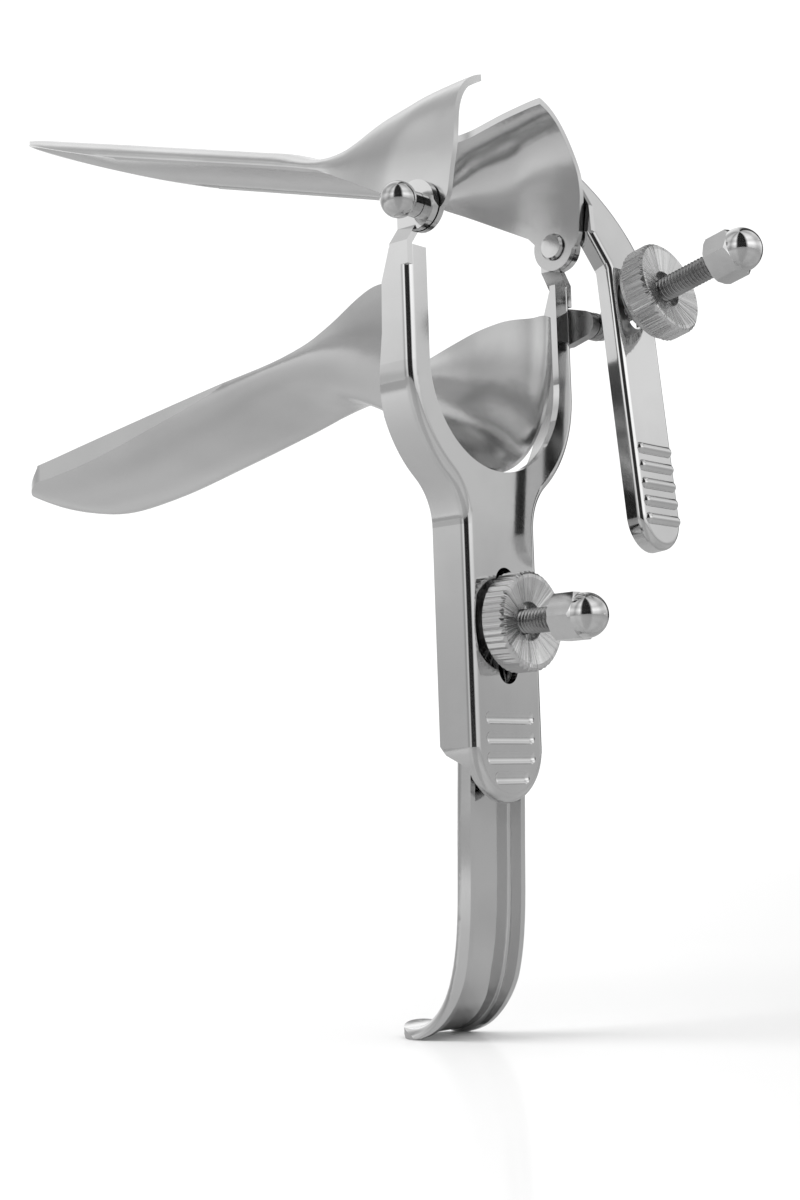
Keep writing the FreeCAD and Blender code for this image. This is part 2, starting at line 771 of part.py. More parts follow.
frame_sheet = size("frame_sheet")
frame_depth = size("frame_depth")
frame_block = Part.Face(frame_outline(0, arm_top)).extrude(V(0, frame_depth, 0))
bent_edges = [e for e in edges_in_plane_y(frame_block, 0) if e.BoundBox.ZMin < arm_top - 1]
frame_block = frame_block.makeFillet(size("frame_bend"), bent_edges)
frame_hollow = Part.Face(frame_outline(frame_sheet, arm_top + 20)).extrude(V(0, frame_depth, 0))
inner_edges = [e for e in edges_in_plane_y(frame_hollow, 0) if e.BoundBox.ZMin < arm_top + 10]
frame_hollow = frame_hollow.makeFillet(size("frame_bend") - frame_sheet, inner_edges)
frame_hollow.translate(V(0, frame_sheet, 0))
frame_shape = frame_block.cut(frame_hollow)
window_radius = size("window_radius")
window_centre = size("window_centre")
window = Part.makeBox(2 * window_radius, 20, 60, V(-window_radius, -5, window_centre))
window = window.fuse(rod(window_radius, V(0, -5, window_centre), Y_AXIS, 20))
frame_shape = frame_shape.cut(window)
slot_half = size("slot_width") / 2
slot_low = size("slot_low") + slot_half
slot_high = size("slot_high") - slot_half
frame_slot = Part.makeBox(2 * slot_half, 20, slot_high - slot_low, V(-slot_half, -5, slot_low))
for end in (slot_low, slot_high):
    frame_slot = frame_slot.fuse(rod(slot_half, V(0, -5, end), Y_AXIS, 20))
frame_shape = frame_shape.cut(frame_slot)
foot_taper = [
    (12, -22.0),
    (9.0, -24.0),
    (7.6, -25.8),
    (4.6, -27.4),
    (2.8, -28.6),
    (2.2, -33.0),
    (2.1, -40),
    (12, -40),
]
frame_shape = frame_shape.cut(outline_yz(foot_taper, -20, 20))
arm_taper = [(12, 36), (frame_depth, 40), (8.2, 48), (7.2, 56), (6.9, 66), (5.2, 71), (3.6, 76), (12, 76)]
for low_x in (-arch_radius - 5, arch_radius - 10):
    frame_shape = frame_shape.cut(outline_yz(arm_taper, low_x, low_x + 15))
for number in range(4):
    reach = size("groove_half") if number < 3 else size("groove_half") - 2.2
    groove_y = size("groove_depth") - size("groove_radius")
    groove_z = size("groove_first") - number * size("groove_pitch")
    groove = rod(size("groove_radius"), V(-reach, groove_y, groove_z), X_AXIS, 2 * reach)
    groove = groove.fuse(
        [Part.makeSphere(size("groove_radius"), V(side * reach, groove_y, groove_z)) for side in (-1, 1)]
    )
    frame_shape = frame_shape.cut(groove)
ear_inner = size("ear_inner")
ear_outer = ear_inner + frame_sheet
pivot_height = size("pivot_height")
neck_outline = [
    (arch_radius, arm_top - 4),
    (arch_radius, arm_top + 0.6),
    (ear_outer, arm_top + 4.0),
    (ear_outer, pivot_height),
    (ear_inner, pivot_height),
    (ear_inner, arm_top + 3.6),
    (arch_radius - frame_sheet, arm_top + 0.2),
    (arch_radius - frame_sheet, arm_top - 4),
]
for side in (-1, 1):
    neck = outline_xz([(side * x, z) for x, z in neck_outline], 0.0, size("ear_neck_depth"))
    ear_start = ear_inner if side > 0 else -ear_outer
    disc = rod(size("ear_radius"), V(ear_start, 0, pivot_height), X_AXIS, frame_sheet)
    frame_shape = frame_shape.fuse([neck, disc])
frame_shape = frame_shape.cut(rod(pivot_hole, V(-40, 0, pivot_height), X_AXIS, 80))
frame_shape = frame_shape.removeSplitter()
seat_region = Part.makeBox(100, 100, 200, V(-50, -20, size("seat_low")))
frame_shape = frame_shape.common(seat_region).fuse(frame_shape.cut(seat_region))
feature("yoke_frame", frame_shape)

# Left pivot: a ball-headed screw with a headed inner end
shaft = size("pivot_shaft")
head = size("pivot_head")
head_thick_small = size("pivot_head_thick")
blade_inner = size("upper_half") - size("blade_sheet")
inner_face = blade_inner - size("head_gap")
left_pivot = rod(shaft, V(-inner_face, 0, pivot_height), -X_AXIS, ear_outer - inner_face + 0.1)
left_pivot = left_pivot.fuse(
    [
        rod(head, V(-inner_face + head_thick_small, 0, pivot_height), -X_AXIS, head_thick_small),
        rod(size("ball_neck"), V(-ear_outer - 0.1, 0, pivot_height), -X_AXIS, size("ball_centre") - ear_outer),
        Part.makeSphere(size("ball_radius"), V(-size("ball_centre"), 0, pivot_height)),
    ]
)
feature("left_pivot_screw", left_pivot)

# Right pivot: a plain rivet with a low head on each side
right_profile = [
    (0, inner_face - head_thick_small),
    (head - 0.4, inner_face - head_thick_small),
    (head, inner_face - 0.3),
    (head, inner_face),
    (shaft, inner_face),
    (shaft, ear_outer + 0.1),
    (3.2, ear_outer + 0.1),
    (3.0, ear_outer + 0.8),
    (1.8, ear_outer + 1.3),
    (0, ear_outer + 1.4),
]
feature("right_pivot_rivet", turned(right_profile, V(0, 0, pivot_height), X_AXIS))

# Screw lug: a small plate brazed to the right arm, carrying the pin of the lever screw
pin_y = size("pin_y")
pin_height = size("pin_height")
lug_start = arch_radius
lug_thick = size("lug_thick")
nose = size("lug_nose")
lug_half = size("lug_half")
lug_outline = [
    (6.0, pin_height - lug_half),
    (1.5, pin_height - lug_half),
    (pin_y - 0.9, pin_height - nose + 0.15),
    (pin_y - 0.9, pin_height + nose - 0.15),
    (1.5, pin_height + lug_half),
    (6.0, pin_height + lug_half),
]
lug_shape = outline_yz(lug_outline, lug_start, lug_start + lug_thick)
lug_shape = lug_shape.fuse(rod(nose, V(lug_start, pin_y, pin_height), X_AXIS, lug_thick))
pin_radius = size("pin_radius")
lug_shape = lug_shape.cut(rod(pin_radius + 0.02, V(20, pin_y, pin_height), X_AXIS, 20))
feature("screw_lug", lug_shape.removeSplitter())

# Lug pin: a headed pin through the lug and the eye
eye_half = size("eye_width") / 2
pin_end = eye_x + eye_half + 0.3
pin_shape = rod(pin_radius, V(lug_start + 0.1, pin_y, pin_height), X_AXIS, pin_end - lug_start - 0.1)
pin_shape = pin_shape.fuse(rod(size("pin_head"), V(pin_end, pin_y, pin_height), X_AXIS, size("pin_head_thick")))
feature("lug_pin", pin_shape)

# Lever screw: an eye on the pin and a threaded rod through the lever's slot
lift = math.radians(size("screw_lift"))
reach_direction = V(0, -math.cos(lift), math.sin(lift))
pin_centre = V(eye_x, pin_y, pin_height)
rod_length = size("screw_reach") + size("thread_in_cap")
rod_profile = [
    (0, 2.0),
    (screw_radius, 2.0),
    (screw_radius, rod_length - 0.6),
    (screw_radius - 0.6, rod_length),
    (0, rod_length),
]
lever_rod = turned(rod_profile, pin_centre, reach_direction)
flat_stock = Part.makeBox(size("eye_width"), 12, 12, V(eye_x - eye_half, pin_y - 6, pin_height - 6))
eye_ball = rod(size("eye_radius"), V(eye_x - eye_half, pin_y, pin_height), X_AXIS, size("eye_width"))
eye_neck = turned([(0, 0), (size("eye_radius"), 0), (screw_radius, 4.0), (0, 4.0)], pin_centre, reach_direction)
lever_rod = lever_rod.cut(turned([(0, 0), (9, 0), (9, 3.4), (0, 3.4)], pin_centre, reach_direction))
lever_screw = lever_rod.fuse([eye_ball, eye_neck.common(flat_stock)])
lever_screw = lever_screw.cut(rod(pin_radius + size("running_fit"), V(20, pin_y, pin_height), X_AXIS, 30))
feature("lever_screw", lever_screw)


def on_screw(distance):
    """Point on the lever screw's axis at a distance from the pin."""
    return pin_centre + reach_direction * distance


# The washer stands square to the rod, so its rim clears the leaning face by the seat gap
lean = math.radians(size("lever_lean"))
face_distance = (pin_y - size("lever_face_y")) * math.cos(lean)
face_distance += (size("lever_hole_height") - pin_height) * math.sin(lean)
rim_dip = size("washer_radius") * math.sin(lift - lean)
washer_back = (face_distance + rim_dip + seat_gap) / math.cos(lift - lean)
feature("lever_cap_nut", cap_nut(on_screw(size("screw_reach")), reach_direction))
feature("lever_washer", washer(on_screw(washer_back), reach_direction))
lever_nut_back = washer_back + size("washer_thick") + seat_gap
feature("lever_thumb_nut", thumb_nut(on_screw(lever_nut_back), reach_direction, size("thumb_boss")))

# Each piece is checked, then written to its own file
doc.recompute()
pieces = [o for o in doc.Objects if o.TypeId == "Part::Feature"]
for piece in pieces:
    if "Invalid" in piece.State or "Error" in piece.State:
        raise RuntimeError("unfinished piece: " + piece.Label)
    if piece.Shape.isNull() or not piece.Shape.isValid() or not piece.Shape.Solids:
        raise RuntimeError("bad shape: " + piece.Label)
for piece in pieces:
    box = piece.Shape.BoundBox
    print(piece.Label, len(piece.Shape.Solids), round(piece.Shape.Volume, 1), [
        round(value, 2) for value in (box.XMin, box.XMax, box.YMin, box.YMax, box.ZMin, box.ZMax)
    ])
    piece.Shape.exportStep("parts/" + piece.Label + ".step")
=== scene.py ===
import math

import bpy
import numpy as np
from bpy.props import FloatProperty, FloatVectorProperty, IntProperty, PointerProperty
from mathutils import Matrix, Vector


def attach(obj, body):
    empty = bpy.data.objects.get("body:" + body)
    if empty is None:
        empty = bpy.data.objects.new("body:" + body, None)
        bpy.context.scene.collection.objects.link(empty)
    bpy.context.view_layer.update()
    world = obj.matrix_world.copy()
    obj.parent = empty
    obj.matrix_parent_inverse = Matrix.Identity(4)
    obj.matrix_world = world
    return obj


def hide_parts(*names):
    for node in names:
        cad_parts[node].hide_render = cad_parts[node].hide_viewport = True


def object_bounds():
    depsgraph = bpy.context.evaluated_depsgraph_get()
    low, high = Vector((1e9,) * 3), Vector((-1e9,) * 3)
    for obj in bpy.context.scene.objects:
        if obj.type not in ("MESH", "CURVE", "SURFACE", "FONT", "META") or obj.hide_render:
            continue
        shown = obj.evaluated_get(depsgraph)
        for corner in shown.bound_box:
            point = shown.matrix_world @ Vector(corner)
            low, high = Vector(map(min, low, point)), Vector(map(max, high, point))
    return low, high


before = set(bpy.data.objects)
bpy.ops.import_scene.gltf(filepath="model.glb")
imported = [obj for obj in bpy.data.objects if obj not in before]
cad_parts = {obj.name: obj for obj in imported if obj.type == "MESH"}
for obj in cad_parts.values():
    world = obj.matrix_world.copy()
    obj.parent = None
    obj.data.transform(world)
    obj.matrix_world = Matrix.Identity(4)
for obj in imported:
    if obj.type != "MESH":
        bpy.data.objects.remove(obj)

bl_info = {
    "name": "Bivalve Speculum",
    "version": (1, 0, 0),
    "blender": (4, 5, 0),
    "location": "3D View > Sidebar > Speculum",
    "description": "Finishes a polished bivalve speculum and sets its studio",
    "category": "Object",
}

CAD_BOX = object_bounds()
MM = 0.001


# Colours and shader nodes


def linear(code):
    """Scene-linear colour of a sRGB hex code."""
    channels = [int(code[i : i + 2], 16) / 255 for i in (1, 3, 5)]
    return [c / 12.92 if c <= 0.04045 else ((c + 0.055) / 1.055) ** 2.4 for c in channels] + [1.0]


def add_node(tree, kind, settings=None, **sockets):
    """One shader node. A socket is named by its label, with _ for a space, or by its number, as in _0.
    An output socket given for it is linked, and any other value is set."""
    node = tree.nodes.new(kind)
    for name, value in (settings or {}).items():
        setattr(node, name, value)
    for name, value in sockets.items():
        socket = node.inputs[int(name[1:])] if name[1:].isdigit() else node.inputs[name.replace("_", " ")]
        if isinstance(value, bpy.types.NodeSocket):
            tree.links.new(value, socket)
        else:
            socket.default_value = value
    return node


def new_material(name):
    """An empty node material and its node tree."""
    material = bpy.data.materials.new(name)
    material.use_nodes = True
    material.node_tree.nodes.clear()
    return material, material.node_tree


# Steel

# The cloudy patches are this many times as long as the buffing's waves
PATCH_TO_WAVE = 5.0
# The noise levels between which a patch fades in
PATCH_EDGES = (0.42, 0.68)
# Radius of the thumb nuts' rim, and width and depth of a streak there, mm. The real tool marks are far finer;
# they are drawn this coarse so that they show.
NUT_RIM = 10.0
STREAK_WIDTH = 3.125
STREAK_DEPTH = 0.9


def steel(name, colour, dull, roughness, spread, bump_mm, wave_mm):
    """Stainless steel, pressed and buffed: clear reflections that the buffing bends a little, with cloudy
    patches a shade darker and duller where the mop pressed less. The waves are wave_mm long."""
    material, tree = new_material(name)
    where = add_node(tree, "ShaderNodeTexCoord").outputs["Object"]
    wave = 1 / (wave_mm * MM)
    cloud = add_node(tree, "ShaderNodeTexNoise", Vector=where, Scale=wave / PATCH_TO_WAVE, Detail=4.0)
    buffing = add_node(tree, "ShaderNodeTexNoise", Vector=where, Scale=wave, Detail=3.0)
    low, high = PATCH_EDGES
    cloud_level = cloud.outputs["Fac"]
    patches = add_node(tree, "ShaderNodeMapRange", Value=cloud_level, From_Min=low, From_Max=high).outputs[0]
    tone = add_node(tree, "ShaderNodeMix", {"data_type": "RGBA"}, Factor=patches, _6=colour, _7=dull)
    duller = roughness + spread
    rough = add_node(tree, "ShaderNodeMapRange", Value=patches, To_Min=roughness, To_Max=duller)
    height = buffing.outputs["Fac"]
    bump = add_node(tree, "ShaderNodeBump", Height=height, Strength=1.0, Distance=bump_mm * MM)
    shader = add_node(
        tree,
        "ShaderNodeBsdfPrincipled",
        Base_Color=tone.outputs[2],
        Metallic=1.0,
        Roughness=rough.outputs[0],
        Normal=bump.outputs[0],
    )
    add_node(tree, "ShaderNodeOutputMaterial", Surface=shader.outputs[0])
    return material


def turned_face_steel(name, colour, dull, centre, axis):
    """Faced steel: streaks that run out from a nut's axis, left by the facing tool, are bumped into the face,
    and the light and dark fans they catch are painted into the colour, a painted reflection. The noise is
    read on a circle round the axis, so a streak keeps its tone from the bore to the rim."""
    material, tree = new_material(name)
    where = add_node(tree, "ShaderNodeTexCoord").outputs["Object"]
    from_centre = add_node(tree, "ShaderNodeVectorMath", {"operation": "SUBTRACT"}, _0=where, _1=centre)
    turn = Vector(axis).rotation_difference(Vector((0, 0, 1))).to_euler()
    upright = add_node(tree, "ShaderNodeMapping", Vector=from_centre.outputs[0], Rotation=turn).outputs[0]
    flat = add_node(tree, "ShaderNodeVectorMath", {"operation": "MULTIPLY"}, _0=upright, _1=(1, 1, 0))
    around = add_node(tree, "ShaderNodeVectorMath", {"operation": "NORMALIZE"}, _0=flat.outputs[0])
    streaks = add_node(
        tree,
        "ShaderNodeTexNoise",
        Vector=around.outputs[0],
        Scale=NUT_RIM / STREAK_WIDTH,
        Detail=5.0,
        Roughness=0.6,
    ).outputs["Fac"]
    # Painted reflection: light and dark fans painted into the colour along the streaks; the bump is the tool
    # marks
    tone = add_node(tree, "ShaderNodeMix", {"data_type": "RGBA"}, Factor=streaks, _6=colour, _7=dull)
    rough = add_node(tree, "ShaderNodeMapRange", Value=streaks, To_Min=0.1, To_Max=0.3)
    bump = add_node(tree, "ShaderNodeBump", Height=streaks, Strength=1.0, Distance=STREAK_DEPTH * MM)
    shader = add_node(
        tree,
        "ShaderNodeBsdfPrincipled",
        Base_Color=tone.outputs[2],
        Metallic=1.0,
        Roughness=rough.outputs[0],
        Normal=bump.outputs[0],
    )
    add_node(tree, "ShaderNodeOutputMaterial", Surface=shader.outputs[0])
    return material


# Surfaces made from grids

# The thread's wave: rings in each pitch, how steep its flanks are and how much of the crest is cut flat
RINGS_PER_PITCH = 10
FLANK_SLOPE = 1.3
CREST_FLAT = 0.15


def mesh_piece(name, rows, poles=None):
    """Closed skin over rings of points: rows has shape (rings, points around, 3). Each ring is joined to the
    next one. Two poles close the ends; without poles the last ring is joined to the first."""
    rows = np.asarray(rows, float)
    rings, around = rows.shape[:2]
    index = np.arange(rings * around).reshape(rings, around)
    if poles is None:
        index = np.vstack([index, index[:1]])
    ahead = np.roll(index, -1, axis=1)
    faces = np.stack([index[:-1], ahead[:-1], ahead[1:], index[1:]], axis=-1).reshape(-1, 4).tolist()
    points = rows.reshape(-1, 3)
    if poles is not None:
        first = np.full(around, len(points))
        faces += np.stack([first, ahead[0], index[0]], axis=-1).tolist()
        faces += np.stack([first + 1, index[-1], ahead[-1]], axis=-1).tolist()
        points = np.vstack([points, poles])
    mesh = bpy.data.meshes.new(name)
    mesh.from_pydata(points.tolist(), [], faces)
    mesh.polygons.foreach_set("use_smooth", np.ones(len(mesh.polygons), bool))
    mesh.update()
    piece = bpy.data.objects.new(name, mesh)
    bpy.context.scene.collection.objects.link(piece)
    return piece


def axes_about(direction):
    """A direction made one long, and two unit vectors square to it and to each other."""
    along = np.asarray(direction, float)
    along /= np.linalg.norm(along)
    side = np.cross(along, (1.0, 0.0, 0.0)) if abs(along[0]) < 0.9 else np.cross(along, (0.0, 0.0, 1.0))
    side /= np.linalg.norm(side)
    return along, side, np.cross(along, side)


def turned_rows(centre, direction, distance, reach):
    """Rings about an axis: centre + distance * axis + reach * (cos(angle) * side + sin(angle) * other).
    distance has one value a ring, and reach has one a ring or one a point."""
    along, side, other = axes_about(direction)
    angle = np.linspace(0, 2 * math.pi, reach.shape[1], endpoint=False)
    ring = np.cos(angle)[None, :, None] * side + np.sin(angle)[None, :, None] * other
    return np.asarray(centre) + distance[:, :, None] * along + reach[:, :, None] * ring


def threaded_rod(name, centre, direction, ends, threads, sizes):
    """Threaded rod. Each ring's radius is the rod's radius less a rounded V that winds once per pitch:
    r = R - depth * wave(distance / pitch - angle / turn), faded in over one pitch at each of its ends."""
    start, stop = threads
    rings = int((stop - start) / sizes.pitch * RINGS_PER_PITCH)
    before = [point for point in ends if point[0] <= start]
    after = [point for point in ends if point[0] >= stop]
    wound = [(distance, sizes.radius) for distance in np.linspace(start, stop, rings)]
    path = np.array(before + wound + after)
    distance = path[:, :1]
    turns = np.linspace(0, 1, sizes.around, endpoint=False)
    phase = distance / sizes.pitch - turns[None, :]
    triangle = np.abs(2 * (phase - np.floor(phase)) - 1)
    wave = np.clip(triangle * FLANK_SLOPE - CREST_FLAT, 0, 1)
    fade_in = np.clip((distance - start) / sizes.pitch, 0, 1)
    fade_out = np.clip((stop - distance) / sizes.pitch, 0, 1)
    reach = path[:, 1:] - sizes.depth * wave * fade_in * fade_out
    rows = turned_rows(centre, direction, distance, reach)
    along = axes_about(direction)[0]
    poles = np.asarray(centre) + path[[0, -1], :1] * along
    return mesh_piece(name, rows * MM, poles * MM)


def tube(name, centre, direction, profile, around):
    """Ring turned from a closed profile of (distance, radius) points about an axis."""
    path = np.array(profile)
    reach = np.repeat(path[:, 1:], around, axis=1)
    return mesh_piece(name, turned_rows(centre, direction, path[:, :1], reach) * MM)


# Settings


def colour_setting(name, description, code):
    """Colour setting that starts at a sRGB hex code."""
    return FloatVectorProperty(
        name=name, description=description, subtype="COLOR", size=4, min=0, max=1, default=linear(code)
    )


class SpeculumSteel(bpy.types.PropertyGroup):
    """Colours of the steel, each with the shade of its dull patches; the nut faces' second shade is painted
    dark fans
    """

    blade: colour_setting("Blades", "Buffed steel of both blades", "#dedede")
    blade_dull: colour_setting("Blades, dull", "Dull patches on the blades", "#d2d2d2")
    polished: colour_setting("Handle", "Polished steel of the handle, frame and lever", "#e2e2e2")
    polished_dull: colour_setting("Handle, dull", "Dull patches on handle, frame and lever", "#d6d6d6")
    nut: colour_setting("Domes", "Polished steel of the cap nuts and pivots", "#e0e0e0")
    nut_dull: colour_setting("Domes, dull", "Dull patches on the cap nuts and pivots", "#cccccc")
    # Nut faces: their two colours paint light and dark fans round the axis, a painted reflection
    face: colour_setting("Nut faces", "Faced steel of the thumb nuts", "#f0f0f0")
    face_painted_dark_fans: colour_setting("Nut faces, dull", "Dark streaks on the thumb nuts", "#c0c0c0")
    satin: colour_setting("Washers", "Satin steel of the washers, lug and pin", "#bababa")
    satin_dull: colour_setting("Washers, dull", "Dull patches on the satin pieces", "#a4a4a4")
    thread: colour_setting("Screws", "Cut steel of the two screws", "#aaaaaa")
    thread_dull: colour_setting("Screws, dull", "Dull patches on the screws", "#909090")


class SpeculumThreads(bpy.types.PropertyGroup):
    """Sizes of the two threaded screws, with lengths in millimetres"""

    radius: FloatProperty(name="Radius", description="Outer radius of the thread, mm", default=2.5, min=1)
    pitch: FloatProperty(name="Pitch", description="Distance between threads, mm", default=0.8, min=0.2)
    depth: FloatProperty(name="Depth", description="Depth of the thread, mm", default=0.42, min=0)
    around: IntProperty(name="Segments", description="Points around each screw", default=48, min=12)
    height_end: FloatProperty(name="Height end", description="Reach of the height screw, mm", default=19.4)
    lever_reach: FloatProperty(name="Lever reach", description="Reach of the lever screw, mm", default=37.7)
    lever_lift: FloatProperty(
        name="Lever lift", description="Tilt of the lever screw", default=math.radians(13.7), unit="ROTATION"
    )
    pin: FloatVectorProperty(name="Pin", description="Middle of the eye, mm", default=(30.5, -2.6, 44.0))
    datum: FloatProperty(name="Datum", description="Height screw below the origin, mm", default=20.5)


class SpeculumStudio(bpy.types.PropertyGroup):
    """Camera, floor and light"""

    azimuth: FloatProperty(
        name="Azimuth", description="Camera's turn about Z", default=math.radians(-48.6), unit="ROTATION"
    )
    elevation: FloatProperty(
        name="Elevation", description="Camera's height angle", default=math.radians(-5.936), unit="ROTATION"
    )
    roll: FloatProperty(
        name="Roll", description="Camera's roll", default=math.radians(-1.885), unit="ROTATION"
    )
    offset: FloatVectorProperty(
        name="Offset", description="Camera offset right, up and back, mm", default=(-21.162, 4.699, 396.93)
    )
    lens: FloatProperty(name="Lens", description="Focal length for a 36 mm tall frame", default=60.01)
    floor_half: FloatProperty(
        name="Floor half", description="Half width of the floor", default=20.0, unit="LENGTH"
    )
    # Painted light and shade: grey floor near the object, painted white far off, and a grey floor in the
    # steel's mirror
    floor_near: colour_setting("Floor", "Floor near the object, grey enough to show the shadow", "#e4e4e4")
    floor_far: colour_setting("Floor, far", "Floor further away", "#ffffff")
    floor_mirrored: colour_setting("Floor, mirrored", "Floor as the steel mirrors it", "#a2a2a2")
    backdrop: FloatProperty(name="Backdrop", description="Brightness of the background", default=1.12, min=0)
    key_place: FloatVectorProperty(
        name="Key place", description="Place of the key light", default=(-0.6, 0.62, 0.55), unit="LENGTH"
    )
    key_size: FloatProperty(name="Key size", description="Width of the key light", default=0.8, unit="LENGTH")
    key_power: FloatProperty(name="Key", description="Power of the key light, watts", default=7.0)


# Pieces


class SPECULUM_OT_finish(bpy.types.Operator):
    """Give every CAD piece its steel"""

    bl_idname = "speculum.finish"
    bl_label = "Finish the steel"

    def execute(self, context):
        shades = context.scene.speculum_steel
        screws = context.scene.speculum_threads
        height_centre = (0, 0, -screws.datum * MM)
        lever_centre = tuple(Vector(screws.pin) * MM)
        lift = screws.lever_lift
        lever_axis = (0.0, -math.cos(lift), math.sin(lift))
        # Pressed and buffed sheet: wide, soft reflections that bend a little along the blade
        blade = steel(
            "Blade steel", shades.blade, shades.blade_dull, 0.18, 0.05, bump_mm=0.02, wave_mm=9.0
        )
        # Polished sheet: clear reflections with crisp edges
        polished = steel(
            "Polished steel", shades.polished, shades.polished_dull, 0.07, 0.04, bump_mm=0.006, wave_mm=5.0
        )
        # Turned and polished: small sharp highlights on the domes and flats
        nut = steel(
            "Polished nut steel", shades.nut, shades.nut_dull, 0.08, 0.05, bump_mm=0.004, wave_mm=2.0
        )
        # Turned and left satin: a grey sheen without clear reflections
        satin = steel(
            "Satin steel", shades.satin, shades.satin_dull, 0.28, 0.1, bump_mm=0.004, wave_mm=0.8
        )
        # Faced and knurled: light and dark fans round the axis, painted into the colour as a painted
        # reflection
        height_face = turned_face_steel(
            "Height nut steel", shades.face, shades.face_painted_dark_fans, height_centre, (0, -1, 0)
        )
        lever_face = turned_face_steel(
            "Lever nut steel", shades.face, shades.face_painted_dark_fans, lever_centre, lever_axis
        )
        finishes = {
            "lower_blade": blade,
            "upper_blade": blade,
            "lower_handle": polished,
            "yoke_frame": polished,
            "thumb_lever": polished,
            "height_cap_nut": nut,
            "lever_cap_nut": nut,
            "left_pivot_screw": nut,
            "right_pivot_rivet": nut,
            "height_thumb_nut": height_face,
            "lever_thumb_nut": lever_face,
            "height_washer": satin,
            "lever_washer": satin,
            "screw_lug": satin,
            "lug_pin": satin,
            "height_screw": satin,
            "lever_screw": satin,
        }
        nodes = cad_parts
        if set(finishes) != set(nodes):
            raise RuntimeError("the finishes don't match the CAD nodes")
        for name, material in finishes.items():
            data = nodes[name].data
            data.materials.clear()
            data.materials.append(material)
        return {"FINISHED"}


# Turned shape of the screws, mm. Distances run along each screw from its own centre towards the operator.
CHAMFER = 0.6
SEAT_GAP = 0.1
# The height screw's web and head: the web's back face lies behind the centre
WEB_BACK = -7.1
WEB_THICK = 1.4
HEAD_RADIUS = 4.0
HEAD_THICK = 1.2
# Rounded edge of the head: distance from its back, and how far the edge stays inside the head's radius
HEAD_EDGE = [(0.0, 1.0), (0.1, 0.6), (0.7, 0.0)]
# The height screw's shoulder ends here, and the thread starts a little after it
SHOULDER_END = -1.9
HEIGHT_THREAD_START = -1.6
# Where the eye's neck widens into the lever screw's rod: distance and radius
NECK = [(2.3, 1.2), (2.9, 1.8), (3.6, 2.35)]
ROD_START = 4.0
LEVER_THREAD_START = 4.4
# The eye, with its middle on the pin
EYE_HALF = 1.3
EYE_BORE = 1.85
EYE_RADIUS = 2.9
EYE_BEVEL = 0.2


def height_screw(sizes):
    """Height screw: head behind the web, shoulder in front of it, and thread towards the operator."""
    head_front = WEB_BACK - SEAT_GAP
    head_back = head_front - HEAD_THICK
    shoulder_start = WEB_BACK + WEB_THICK + SEAT_GAP
    thread_end = sizes.height_end - CHAMFER
    ends = [(head_back + distance, HEAD_RADIUS - inside) for distance, inside in HEAD_EDGE]
    ends += [(head_front, HEAD_RADIUS), (head_front, sizes.radius)]
    ends += [(shoulder_start, sizes.radius), (shoulder_start, HEAD_RADIUS)]
    ends += [(SHOULDER_END, HEAD_RADIUS), (SHOULDER_END, sizes.radius)]
    ends += [(thread_end, sizes.radius), (sizes.height_end, sizes.radius - CHAMFER)]
    centre = (0, 0, -sizes.datum)
    threads = (HEIGHT_THREAD_START, thread_end)
    return threaded_rod("height_screw_threaded", centre, (0, -1, 0), ends, threads, sizes)


def lever_screw(sizes):
    """Lever screw: a rod that leaves the eye by a neck and is threaded to its end."""
    lift = sizes.lever_lift
    thread_end = sizes.lever_reach - CHAMFER
    ends = NECK + [(ROD_START, sizes.radius)]
    ends += [(thread_end, sizes.radius), (sizes.lever_reach, sizes.radius - CHAMFER)]
    direction = (0, -math.cos(lift), math.sin(lift))
    threads = (LEVER_THREAD_START, thread_end)
    return threaded_rod("lever_screw_threaded", tuple(sizes.pin), direction, ends, threads, sizes)


def lever_screw_eye(sizes):
    """Eye of the lever screw: a flat ring round the pin with bevelled edges."""
    profile = [
        (-EYE_HALF, EYE_BORE),
        (-EYE_HALF, EYE_RADIUS - EYE_BEVEL),
        (EYE_BEVEL - EYE_HALF, EYE_RADIUS),
        (EYE_HALF - EYE_BEVEL, EYE_RADIUS),
        (EYE_HALF, EYE_RADIUS - EYE_BEVEL),
        (EYE_HALF, EYE_BORE),
    ]
    return tube("lever_screw_eye", tuple(sizes.pin), (1, 0, 0), profile, sizes.around)


class SPECULUM_OT_screws(bpy.types.Operator):
    """Build both threaded screws with real threads"""

    bl_idname = "speculum.screws"
    bl_label = "Build the threaded screws"

    def execute(self, context):
        sizes = context.scene.speculum_threads
        shades = context.scene.speculum_steel
        # Cut threads: darker than the sheet, with a shine that the turns break up
        thread = steel(
            "Screw steel", shades.thread, shades.thread_dull, 0.2, 0.08, bump_mm=0.002, wave_mm=1.5
        )
        height = height_screw(sizes)
        lever = lever_screw(sizes)
        eye = lever_screw_eye(sizes)
        for piece in (height, lever, eye):
            piece.data.materials.append(thread)
        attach(height, "base")
        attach(lever, "swing_screw")
        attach(eye, "swing_screw")
        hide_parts("height_screw")
        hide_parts("lever_screw")
        return {"FINISHED"}


# Studio

# Shades of the room around the steel, by bearing from 0 to 1: 0.5 is -Y, 0.75 is +X, 0.25 is -X, and 0 and 1
# are +Y. The dark gap is where the viewer stands; it draws the dark lines along bends and on the domes.
ROOM_SHADES = [
    (0.0, 0.66),
    (0.07, 0.55),
    (0.12, 0.84),
    (0.16, 0.84),
    (0.2, 0.5),
    (0.27, 1.2),
    (0.3, 0.03),
    (0.42, 0.02),
    (0.455, 1.25),
    (0.54, 1.15),
    (0.6, 0.76),
    (0.66, 0.76),
    (0.72, 1.0),
    (0.75, 0.08),
    (0.81, 0.05),
    (0.85, 1.1),
    (0.93, 1.1),
    (1.0, 0.66),
]
